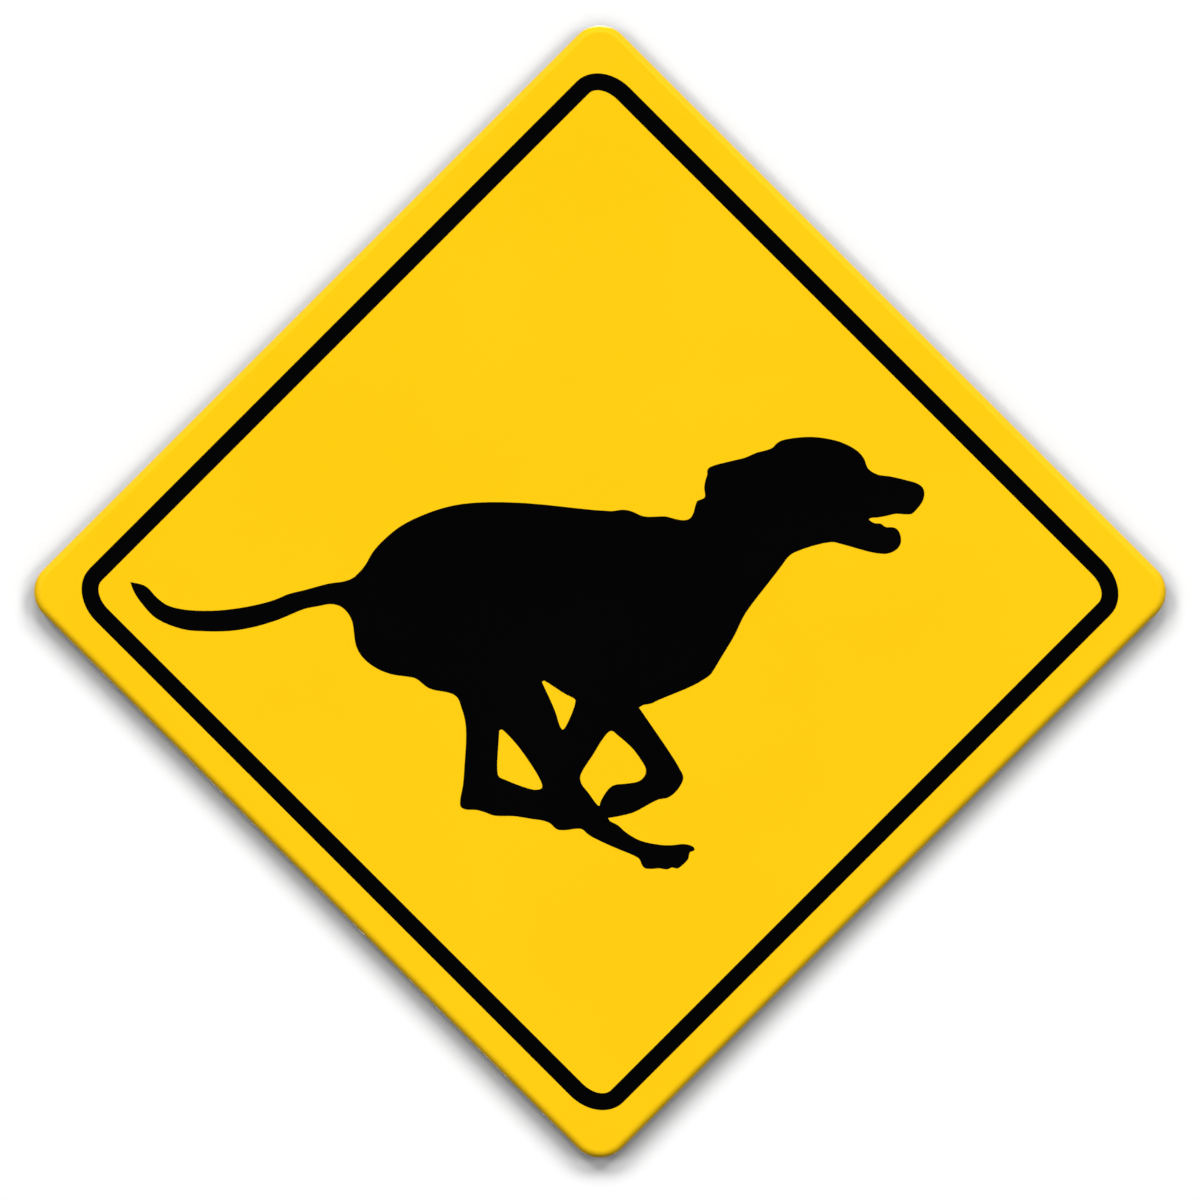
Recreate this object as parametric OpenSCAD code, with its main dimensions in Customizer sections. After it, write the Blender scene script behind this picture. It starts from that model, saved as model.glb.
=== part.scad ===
/* [Plate] */
// Side of the square plate, which stands on its corner
sign_side = 304.8; // [200:0.1:920]
// Radius of the plate's corners, seen from the front
corner_r = 11.6; // [10:0.1:40]
// Thickness of the sheet
sheet_t = 1; // [0.5:0.1:2]
// Inside radius of the bend where the sheet turns back
bend_in_r = 2; // [0.5:0.1:4]
// Straight part of the rim behind the bend
skirt_h = 1; // [0.5:0.1:15]

/* [Line] */
// Space between the plate's edge and the line
line_margin = 12; // [7:0.1:40]
// Width of the line
line_w = 6.35; // [2:0.05:20]
// Inside rounding of the line's corners, along the sides that rise to the right
line_round_up = 5.85; // [1:0.05:40]
// Inside rounding of the line's corners, along the sides that fall to the right
line_round_down = 9.25; // [1:0.05:40]
// Thickness of the black film that the line and the dog are cut from
film_t = 0.1; // [0.05:0.01:0.5]

/* [Hidden] */
$fn = 96;
corner_steps = 12;
curve_steps = 4;

// Outside radius of the bend, and where the straight runs of the rim end
bend_r = bend_in_r + sheet_t;
half_side = sign_side / 2;
corner_at = half_side - corner_r;
panel_side = sign_side - 2 * bend_r;

// The yellow field inside the line, and the field that the dog is drawn for
line_side = sign_side - 2 * line_margin;
field_side = line_side - 2 * line_w;
drawn_field = 268.1;
dog_scale = field_side / drawn_field;

// Each list of the dog's outline runs clockwise, in the drawn size, with the sign's centre at 0, 0
tail_top = [
    [-174.8, 3.6], [-170, 2.5], [-168, 1.2], [-165, -2.1], [-161, -5], [-155, -6.6],
    [-145, -7.1], [-135, -6.2], [-125, -4.2], [-120, -2.6], [-116, -0.9], [-110, 0.6],
    [-101, 3], [-95, 3.9]
];
back = [
    [-92, 5.1], [-89.5, 7.3], [-87.3, 10], [-84.5, 14.8], [-80, 19.7], [-74, 24.5],
    [-65, 28.9], [-55, 32], [-45, 33.2], [-28, 33], [4, 30], [8.5, 30.5],
    [11.5, 30], [16.5, 28], [24.5, 28], [27.5, 27.2], [31, 26.6], [33.2, 27.1],
    [34.6, 28.9]
];
ear = [
    [35.5, 32], [36.2, 33.7], [37.2, 34.2], [38.6, 34.8], [39.1, 35.7], [38.8, 38.5],
    [39.2, 41.3], [39.9, 43.5], [40, 45.3], [41, 46.4], [50, 48.9], [54, 49.9],
    [58.5, 51.8], [62, 52.7], [64.2, 53.6], [65.8, 55.2], [68, 56.4]
];
crown = [
    [77, 57.6], [83, 57.2], [89.5, 55.7], [95.5, 52.6], [98.2, 49.6], [99.8, 45.8],
    [103.3, 43.6]
];
muzzle = [
    [108, 42.9], [114, 41.5], [118, 40.3], [120, 38.8], [120.7, 36.8], [120, 33.6],
    [117.3, 30.1], [116, 29], [114, 28.8], [110, 29], [106, 28.1], [103, 27.6],
    [101, 27.5], [100, 27]
];
jaw = [
    [100, 27], [100.8, 26.2], [102.3, 25.5], [104.5, 25.3], [106.3, 24.1], [109.3, 23.9],
    [110.8, 23], [111.9, 20.5], [111.8, 17.8], [110.3, 15.7], [107, 14.2], [102, 14.5],
    [90, 17.7], [86, 18.5]
];
chest = [
    [72.5, 14.7], [70, 12.9], [67.3, 9.3], [64, 5], [55, -6.7], [52.8, -10.4],
    [50, -16.3], [45, -24.6], [42.5, -28.8], [41, -30.9], [35, -34.7], [22, -40.2],
    [19, -41.6], [16, -42.2], [14.5, -43.1]
];
foreleg = [
    [14.5, -43.1], [26, -59.9], [29.3, -65.3], [31, -69], [30, -72], [27.5, -75.1],
    [25, -76.7], [21.5, -77.4], [12.5, -82.1], [7.5, -83.4], [3, -84.2]
];
paw = [
    [3, -84.2], [3.7, -85.3], [6.5, -86.8], [10, -89.8], [15, -92.6], [22.5, -94.2],
    [27, -94.3], [31, -93.9], [34.2, -94.6], [35.2, -95.7], [34.8, -96.4], [33.6, -96.8],
    [33.1, -98], [32.8, -99.4], [30.5, -101.9], [28.6, -103], [26.9, -102.6], [25, -103.3],
    [22, -102.9], [19.3, -103.1], [16.8, -102.9], [15.7, -101.8], [14.6, -99.4], [12.5, -98.1]
];
sole = [
    [5, -95], [-4, -90.6], [-6.8, -88.3], [-9, -88.2], [-13, -88.7], [-16, -88.4],
    [-18.7, -86.1], [-21.5, -85.1], [-25, -84.6], [-32, -83.5], [-39.3, -83.3], [-43, -82],
    [-46, -81.2], [-50, -81], [-51.8, -80]
];
hind_leg = [
    [-52, -77.5], [-51, -72], [-50.3, -63], [-49.8, -54], [-50.2, -48], [-51.5, -43.3],
    [-53, -39.5], [-55.5, -37.8], [-63.5, -36], [-68.5, -32.3], [-71, -31.7], [-78, -30.6],
    [-84, -28], [-88.5, -24.2], [-90.8, -20], [-92.1, -11.5], [-93.7, -8.1], [-96.5, -5.5]
];
tail_under = [
    [-100, -4.6], [-105, -5.4], [-110, -6.4], [-120, -10.5], [-130, -13.4], [-138, -14.6],
    [-147, -14.7], [-155, -14], [-165, -10], [-170, -5], [-173.3, -0.2], [-174.8, 3.6]
];
// Each gap between the legs starts and ends at its sharpest corner
flank_gap = [
    [-21.6, -33.6], [-21, -33.1], [-20, -33.5], [-13, -38], [-9.7, -39.7], [-9.1, -40.6],
    [-12.9, -50.4], [-14, -51.3], [-14.9, -50], [-16.8, -44.2], [-21.6, -33.6]
];
hind_gap = [
    [-37.5, -51.8], [-37, -51.3], [-36.3, -51.4], [-35, -52.5], [-29.9, -58.2], [-22, -70.5],
    [-21.6, -73], [-23.7, -73.7], [-27, -73.1], [-35, -70.1], [-37.6, -68.8], [-38.2, -66.7],
    [-37.5, -51.8]
];
fore_gap = [
    [-0.2, -79.7], [-0.8, -79.5], [-4.5, -74.6], [-6.7, -71.8], [-7.4, -69.2], [-6.7, -67],
    [-2.2, -60], [0.2, -56], [3.2, -52.2], [4.5, -51.8], [6.6, -53.4], [11.9, -58.1],
    [15, -62.2], [17, -65.8], [16.8, -68.2], [14.7, -70.4], [10, -71.4], [5.5, -71.9],
    [3.3, -73.3], [0.4, -77.7], [-0.2, -79.7]
];

// Square root of the distance between two points
function pace(p, q) = sqrt(norm(q - p));

// Direction in which a smooth curve passes q on its way from p to r
function heading(p, q, r) =
    (q - p) / pace(p, q) + (r - q) / pace(q, r) - (r - p) / (pace(p, q) + pace(q, r));

// Point at the share t of a curve that leaves p along u and reaches q along v
function curve_point(p, u, q, v, t) =
    p * (2 * t - 3) * t * t + p + u * t * (1 - t) * (1 - t) + q * (3 - 2 * t) * t * t - v * t * t * (1 - t);

// Smooth curve through the points, sharp at its first and last, without the last point itself
function smooth(points) = [
    for (i = [0 : len(points) - 2])
        let (
            p = points[i],
            q = points[i + 1],
            u = i == 0 ? q - p : heading(points[i - 1], p, q) * pace(p, q),
            v = i == len(points) - 2 ? q - p : heading(p, q, points[i + 2]) * pace(p, q)
        )
        for (step = [0 : curve_steps - 1])
            curve_point(p, u, q, v, step / curve_steps)
];

// Outline of a square with quarter ellipses for corners
function rounded_square(side, round_x, round_y) = [
    for (turn = [0 : 90 : 270], step = [0 : corner_steps])
        let (
            angle = turn + 90 * step / corner_steps,
            side_x = turn == 0 || turn == 270 ? 1 : -1,
            side_y = turn < 180 ? 1 : -1
        )
        [
            side_x * (side / 2 - round_x) + round_x * cos(angle),
            side_y * (side / 2 - round_y) + round_y * sin(angle)
        ]
];

// Stands a sign that is drawn flat upright, with its face towards the viewer
module upright() {
    rotate([90, 0, 0]) children();
}

// The bend and the skirt in section, from where the flat panel ends
module rim_section() {
    translate([0, sheet_t - bend_r]) {
        intersection() {
            difference() {
                circle(bend_r);
                circle(bend_in_r);
            }
            square(bend_r);
        }
        translate([bend_in_r, -skirt_h]) square([sheet_t, skirt_h]);
    }
}

module straight_rim() {
    translate([half_side - bend_r, corner_at, 0])
        rotate([90, 0, 0])
            linear_extrude(2 * corner_at) rim_section();
}

module corner_rim() {
    translate([corner_at, corner_at, 0])
        rotate_extrude(angle = 90)
            translate([corner_r - bend_r, 0]) rim_section();
}

// The panel and its rim are one pressed sheet, parted here where the bend starts
module sign_panel() {
    color("gold")
        upright()
            rotate(45)
                linear_extrude(sheet_t) {
                    square([panel_side, 2 * corner_at], center = true);
                    square([2 * corner_at, panel_side], center = true);
                    for (x = [-corner_at, corner_at], y = [-corner_at, corner_at])
                        translate([x, y]) circle(corner_r - bend_r);
                }
}

// The sheet's edge, turned back all round
module turned_rim() {
    color("gold")
        upright()
            rotate(45)
                for (turn = [0 : 90 : 270])
                    rotate(turn) {
                        straight_rim();
                        corner_rim();
                    }
}

// The line round the yellow field
module border_line() {
    color("black")
        upright()
            translate([0, 0, sheet_t])
                rotate(45)
                    linear_extrude(film_t)
                        difference() {
                            polygon(rounded_square(line_side, line_round_up + line_w, line_round_down + line_w));
                            polygon(rounded_square(field_side, line_round_up, line_round_down));
                        }
}

// The dog, with three gaps between its legs
module running_dog() {
    color("black")
        upright()
            translate([0, 0, sheet_t])
                linear_extrude(film_t)
                    difference() {
                        polygon(dog_scale * concat(
                            smooth(concat(tail_top, back, ear, crown, muzzle)),
                            smooth(concat(jaw, chest)),
                            smooth(foreleg),
                            smooth(concat(paw, sole, hind_leg, tail_under))
                        ));
                        for (gap = [flank_gap, hind_gap, fore_gap]) polygon(dog_scale * smooth(gap));
                    }
}

sign_panel();
turned_rim();
border_line();
running_dog();
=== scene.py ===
import math

import bmesh
import bpy
from mathutils import Matrix, Vector


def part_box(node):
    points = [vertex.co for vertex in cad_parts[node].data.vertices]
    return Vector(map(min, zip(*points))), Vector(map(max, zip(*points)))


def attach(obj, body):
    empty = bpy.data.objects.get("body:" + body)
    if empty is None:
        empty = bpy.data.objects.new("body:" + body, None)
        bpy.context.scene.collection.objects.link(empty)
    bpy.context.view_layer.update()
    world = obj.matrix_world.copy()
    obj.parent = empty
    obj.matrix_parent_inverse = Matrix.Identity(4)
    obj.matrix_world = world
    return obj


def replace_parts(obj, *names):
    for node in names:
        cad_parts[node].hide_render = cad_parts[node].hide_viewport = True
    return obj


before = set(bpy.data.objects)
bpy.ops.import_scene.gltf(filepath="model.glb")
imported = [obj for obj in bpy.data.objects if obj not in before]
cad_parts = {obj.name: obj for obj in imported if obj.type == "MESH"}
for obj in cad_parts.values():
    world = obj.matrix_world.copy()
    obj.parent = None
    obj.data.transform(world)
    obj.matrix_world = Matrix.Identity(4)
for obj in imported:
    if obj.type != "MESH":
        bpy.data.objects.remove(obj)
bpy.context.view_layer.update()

MM = 0.001

# The sheet: its extents from the solids, its two radii as in the part's source
rim_low, rim_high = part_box("turned_rim")
panel_low, panel_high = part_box("sign_panel")
sheet_thickness = panel_high.y - panel_low.y
corner_radius = 11.6 * MM
bend_radius = 3 * MM
half_side = corner_radius + (rim_high.x - corner_radius) / math.sqrt(2)
flat_ring = 0.6 * MM
deburr = 0.12 * MM

# The photograph's frame at the sign's distance
frame_width = 446.59 * MM
frame_centre_z = -3.1 * MM
camera_distance = 8.0
sensor_width = 36

# The studio
wall_y = rim_high.y + 5.9 * MM
# How far and how deep the wall's painted shade reaches around the sign
painted_shade_reach = 14.5 * MM
painted_shade_depth = 0.85
floor_z = -0.45
stage_reach = 3.0
lamp_distance = 24.0
sky_level = 0.03


class Wire:
    """An output of a finish. A sum written on it adds its Math nodes."""

    def __init__(self, finish, socket):
        self.finish = finish
        self.socket = socket

    def maths(self, operation, *values):
        return self.finish.node("ShaderNodeMath", {"operation": operation}, dict(enumerate(values)))

    def __add__(self, other):
        return self.maths("ADD", self, other)

    def __radd__(self, other):
        return self.maths("ADD", other, self)

    def __sub__(self, other):
        return self.maths("SUBTRACT", self, other)

    def __rsub__(self, other):
        return self.maths("SUBTRACT", other, self)

    def __mul__(self, other):
        return self.maths("MULTIPLY", self, other)

    def __rmul__(self, other):
        return self.maths("MULTIPLY", other, self)


class Finish:
    """The nodes of a material or of the world."""

    def __init__(self, tree):
        self.tree = tree
        tree.nodes.clear()

    def node(self, kind, settings=None, sockets=None, output=0):
        made = self.tree.nodes.new(kind)
        for name, value in (settings or {}).items():
            setattr(made, name, value)
        for name, value in (sockets or {}).items():
            if isinstance(value, Wire):
                self.tree.links.new(value.socket, made.inputs[name])
            else:
                made.inputs[name].default_value = value
        return Wire(self, made.outputs[output]) if made.outputs else None

    def place(self):
        return self.node("ShaderNodeTexCoord", output="Object")

    def noise(self, place, scale, detail=2.0, roughness=0.5):
        """Cloudy values from 0 to 1, mostly between 0.3 and 0.7."""
        sockets = {"Vector": place, "Scale": scale, "Detail": detail, "Roughness": roughness}
        return self.node("ShaderNodeTexNoise", {"noise_dimensions": "3D"}, sockets)

    def span(self, value, low, high, new_low=0.0, new_high=1.0):
        """Takes the span from low to high to a new one, and stops at its ends."""
        sockets = {"Value": value, "From Min": low, "From Max": high, "To Min": new_low, "To Max": new_high}
        return self.node("ShaderNodeMapRange", {"clamp": True}, sockets)

    def blend(self, share, first, second):
        return self.node("ShaderNodeMix", {"data_type": "RGBA"}, {0: share, 6: first, 7: second}, 2)

    def bump(self, height, distance, strength=1.0):
        sockets = {"Height": height, "Distance": distance, "Strength": strength}
        return self.node("ShaderNodeBump", None, sockets)


def new_material(name):
    material = bpy.data.materials.new(name)
    material.use_nodes = True
    return material, Finish(material.node_tree)


def tone(red, green, blue):
    """A colour as a screen shows it, from 0 to 255, as the linear one that nodes take."""
    shares = [value / 255 for value in (red, green, blue)]
    return tuple(s / 12.92 if s <= 0.04045 else ((s + 0.055) / 1.055) ** 2.4 for s in shares) + (1.0,)


def yellow_coat():
    """Satin yellow coat: even colour, a faint orange peel and a little life in the gloss."""
    material, coat = new_material("yellow_coat")
    place = coat.place()
    clouds = coat.noise(place, 9.0, 3.0)
    peel = coat.noise(place, 420.0, 2.0)
    dust = coat.noise(place, 2600.0, 1.0)
    colour = coat.blend(coat.span(clouds, 0.3, 0.7), tone(255, 202.2, 14.5), tone(255, 205.2, 17.5))
    roughness = coat.span(clouds + peel * 0.3, 0.4, 0.9, 0.3, 0.38)
    height = peel + dust * 0.2
    shader = coat.node("ShaderNodeBsdfPrincipled", None, {
        "Base Color": colour,
        "Roughness": roughness,
        "Specular IOR Level": 0.06,
        "Normal": coat.bump(height, 0.00001),
    })
    coat.node("ShaderNodeOutputMaterial", None, {"Surface": shader})
    return material


def black_film():
    """Satin black film: deep black, with its fine calendered texture."""
    material, film = new_material("black_film")
    place = film.place()
    clouds = film.noise(place, 14.0, 3.0)
    grain = film.noise(place, 1500.0, 2.0)
    deep_black = (0.0001, 0.0001, 0.0001, 1)
    soft_black = (0.0003, 0.0003, 0.0003, 1)
    colour = film.blend(film.span(clouds, 0.3, 0.7), deep_black, soft_black)
    shader = film.node("ShaderNodeBsdfPrincipled", None, {
        "Base Color": colour,
        "Roughness": film.span(clouds + grain * 0.4, 0.4, 1.0, 0.42, 0.52),
        "Specular IOR Level": 0.01,
        "Normal": film.bump(grain, 0.000006),
    })
    film.node("ShaderNodeOutputMaterial", None, {"Surface": shader})
    return material


def bare_sheet():
    """Rolled aluminium as it comes from the mill, its grain along one side of the plate."""
    material, sheet = new_material("bare_aluminium")
    place = sheet.place()
    turned = sheet.node("ShaderNodeMapping", {"vector_type": "TEXTURE"}, {
        "Vector": place,
        "Rotation": (0.0, math.radians(45), 0.0),
        "Scale": (40.0, 1.0, 1.0),
    })
    streaks = sheet.noise(turned, 900.0, 4.0, 0.6)
    bands = sheet.noise(turned, 120.0, 2.0)
    smudges = sheet.noise(place, 16.0, 4.0)
    shade = sheet.span(streaks * 0.5 + bands * 0.5, 0.3, 0.7)
    bright = sheet.blend(shade, (0.50, 0.51, 0.52, 1), (0.66, 0.67, 0.68, 1))
    colour = sheet.blend(sheet.span(smudges, 0.5, 0.75, 0.0, 0.35), bright, (0.42, 0.425, 0.43, 1))
    shader = sheet.node("ShaderNodeBsdfPrincipled", None, {
        "Base Color": colour,
        "Metallic": 1.0,
        "Roughness": sheet.span(streaks * 0.5 + smudges * 0.5, 0.3, 0.7, 0.3, 0.5),
        "Normal": sheet.bump(streaks, 0.000008),
    })
    sheet.node("ShaderNodeOutputMaterial", None, {"Surface": shader})
    return material


def finished_piece(name, bm, materials):
    mesh = bpy.data.meshes.new(name)
    bm.to_mesh(mesh)
    bm.free()
    for material in materials:
        mesh.materials.append(material)
    piece = bpy.data.objects.new(name, mesh)
    bpy.context.scene.collection.objects.link(piece)
    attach(piece, "root")
    return piece


def pressed_plate(coat, bare):
    """The sheet: a square on its corner, its edge turned back over a bend all round."""
    bm = bmesh.new()
    bmesh.ops.create_cube(bm, size=2)
    bmesh.ops.scale(bm, vec=(half_side, (rim_high.y - rim_low.y) / 2, half_side), verts=bm.verts)
    bmesh.ops.rotate(bm, matrix=Matrix.Rotation(math.radians(45), 3, "Y"), verts=bm.verts)
    bmesh.ops.translate(bm, vec=(0, (rim_high.y + rim_low.y) / 2, 0), verts=bm.verts)

    corners = [e for e in bm.edges if abs(e.verts[0].co.y - e.verts[1].co.y) > MM]
    bmesh.ops.bevel(bm, geom=corners, offset=corner_radius, offset_type="OFFSET", segments=24,
                    profile=0.5, affect="EDGES", material=-1)

    front = min(bm.faces, key=lambda f: f.calc_center_median().y)
    bmesh.ops.bevel(bm, geom=list(front.edges), offset=bend_radius, offset_type="OFFSET", segments=10,
                    profile=0.5, affect="EDGES", material=-1)

    # The flat face keeps a narrow ring of its own beside the bend, so that it shades flat
    front = min(bm.faces, key=lambda f: f.calc_center_median().y)
    bmesh.ops.inset_region(bm, faces=[front], thickness=flat_ring, use_even_offset=True)
    back = max(bm.faces, key=lambda f: f.calc_center_median().y)
    bmesh.ops.delete(bm, geom=[back], context="FACES_ONLY")
    bmesh.ops.recalc_face_normals(bm, faces=bm.faces)
    if min(bm.faces, key=lambda f: f.calc_center_median().y).normal.y > 0:
        bmesh.ops.reverse_faces(bm, faces=bm.faces)
    for face in bm.faces:
        face.smooth = True

    plate = finished_piece("pressed_plate", bm, [coat, bare])
    thickness = plate.modifiers.new("sheet_thickness", "SOLIDIFY")
    thickness.thickness = sheet_thickness
    thickness.offset = -1
    thickness.use_even_offset = True
    thickness.use_rim = True
    thickness.material_offset = 1
    thickness.material_offset_rim = 1
    deburred = plate.modifiers.new("deburred_edge", "BEVEL")
    deburred.width = deburr
    deburred.segments = 3
    deburred.limit_method = "ANGLE"
    deburred.angle_limit = math.radians(60)
    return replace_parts(plate, "sign_panel", "turned_rim")


def paint_node(name, material):
    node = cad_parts[name]
    node.data.materials.clear()
    node.data.materials.append(material)


def stage_plane(name, corners, material):
    bm = bmesh.new()
    bm.faces.new([bm.verts.new(corner) for corner in corners])
    mesh = bpy.data.meshes.new(name)
    bm.to_mesh(mesh)
    bm.free()
    mesh.materials.append(material)
    plane = bpy.data.objects.new(name, mesh)
    bpy.context.scene.collection.objects.link(plane)
    return plane


def wall_paint():
    """White wall with painted shade close behind the sign: ambient occlusion darkens its colour there.

    It only shows from in front, so that the sign's back can be looked at.
    """
    material, wall = new_material("white_wall")
    # Painted shade: ambient occlusion darkens the wall's colour close to the sign
    shade = wall.node("ShaderNodeAmbientOcclusion", {"samples": 3}, {
        "Color": (1, 1, 1, 1),
        "Distance": painted_shade_reach,
    })
    colour = wall.blend(painted_shade_depth, (1, 1, 1, 1), shade)
    white = wall.node("ShaderNodeBsdfPrincipled", None, {
        "Base Color": colour,
        "Roughness": 1.0,
        "Specular IOR Level": 0.0,
    })
    clear = wall.node("ShaderNodeBsdfTransparent")
    behind = wall.node("ShaderNodeNewGeometry", output="Backfacing")
    wall.node("ShaderNodeOutputMaterial", None, {
        "Surface": wall.node("ShaderNodeMixShader", None, {0: behind, 1: white, 2: clear}),
    })
    return material


def floor_paint():
    material, floor = new_material("pale_floor")
    white = floor.node("ShaderNodeBsdfDiffuse", None, {"Color": (0.9, 0.9, 0.9, 1)})
    floor.node("ShaderNodeOutputMaterial", None, {"Surface": white})
    return material


def first_hand(light):
    """1 for light that no matt surface has passed on, or else 0.

    With it the sign's bright back doesn't light its own shadow.
    """
    return 1 - light.span(light.node("ShaderNodeLightPath", output="Diffuse Depth"), 0.0, 1.0)


def studio():
    left, right = -stage_reach, stage_reach
    wall = stage_plane("wall", [
        (left, wall_y, floor_z),
        (right, wall_y, floor_z),
        (right, wall_y, stage_reach),
        (left, wall_y, stage_reach),
    ], wall_paint())
    floor = stage_plane("floor", [
        (left, -stage_reach, floor_z),
        (right, -stage_reach, floor_z),
        (right, stage_reach, floor_z),
        (left, stage_reach, floor_z),
    ], floor_paint())
    # They show the sign's shadow and stand in no lamp's way, so the sign's back is lit as well
    for plane in (wall, floor):
        plane.visible_diffuse = False
        plane.visible_glossy = False
        plane.visible_transmission = False
        plane.visible_shadow = False

    world = bpy.data.worlds.new("studio")
    world.use_nodes = True
    bpy.context.scene.world = world
    sky = Finish(world.node_tree)
    seen = sky.node("ShaderNodeLightPath", output="Is Camera Ray")
    glossy = sky.node("ShaderNodeLightPath", output="Is Glossy Ray")
    through = sky.node("ShaderNodeLightPath", output="Is Transmission Ray")
    shown = sky.span(seen + (glossy + through) * first_hand(sky), 0.0, 1.0)
    strength = shown + (1 - shown) * sky_level
    light = sky.node("ShaderNodeBackground", None, {"Color": (1, 1, 1, 1), "Strength": strength})
    sky.node("ShaderNodeOutputWorld", None, {"Surface": light})

    lamp("key_lamp", 0, 46, 6.4, 0.19)
    lamp_pair("high_lamp", 32, 37, 6.4, 0.475)
    lamp_pair("side_lamp", 34, 7, 6.0, 0.315)
    lamp_pair("low_lamp", 20, -16, 4.6, 0.035)
    behind = lamp_pair("rim_lamp", 109, 43, 6.0, 0.06)
    behind.append(lamp("back_key_lamp", 180, 40, 8.0, 0.5))
    behind.append(lamp("back_low_lamp", 180, -6, 12.0, 0.25))
    for back_lamp in behind:
        back_lamp.use_nodes = True
        back_lamp.cycles.use_multiple_importance_sampling = False
        glow = Finish(back_lamp.node_tree)
        light = glow.node("ShaderNodeEmission", None, {"Color": (1, 1, 1, 1), "Strength": first_hand(glow)})
        glow.node("ShaderNodeOutputLight", None, {"Surface": light})


def lamp(name, azimuth, elevation, size, share):
    """A square lamp. Azimuth 0 is in front of the sign, 90 at its right.

    The share is that of white which it gives to a surface that faces the front,
    or the back if the lamp stands behind.
    """
    turn, rise = math.radians(azimuth), math.radians(elevation)
    direction = Vector((math.sin(turn) * math.cos(rise), -math.cos(turn) * math.cos(rise), math.sin(rise)))
    data = bpy.data.lights.new(name, "AREA")
    data.shape = "SQUARE"
    data.size = size
    data.energy = share * (math.pi * lamp_distance) ** 2 / abs(direction.y)
    made = bpy.data.objects.new(name, data)
    made.location = direction * lamp_distance
    made.rotation_euler = (-direction).to_track_quat("-Z", "Y").to_euler()
    made.visible_camera = False
    bpy.context.scene.collection.objects.link(made)
    return data


def lamp_pair(name, azimuth, elevation, size, share):
    """Two lamps, left and right, that share the light between them."""
    return [lamp(side + name, turn, elevation, size, share / 2)
            for side, turn in (("left_", -azimuth), ("right_", azimuth))]


def camera():
    data = bpy.data.cameras.new("camera")
    data.sensor_width = sensor_width
    data.lens = sensor_width * camera_distance / frame_width
    made = bpy.data.objects.new("camera", data)
    made.location = (0, -camera_distance, frame_centre_z)
    made.rotation_euler = (math.radians(90), 0, 0)
    bpy.context.scene.collection.objects.link(made)
    bpy.context.scene.camera = made


pressed_plate(yellow_coat(), bare_sheet())
film = black_film()
paint_node("border_line", film)
paint_node("running_dog", film)
studio()
camera()
bpy.context.scene.view_settings.view_transform = "Standard"
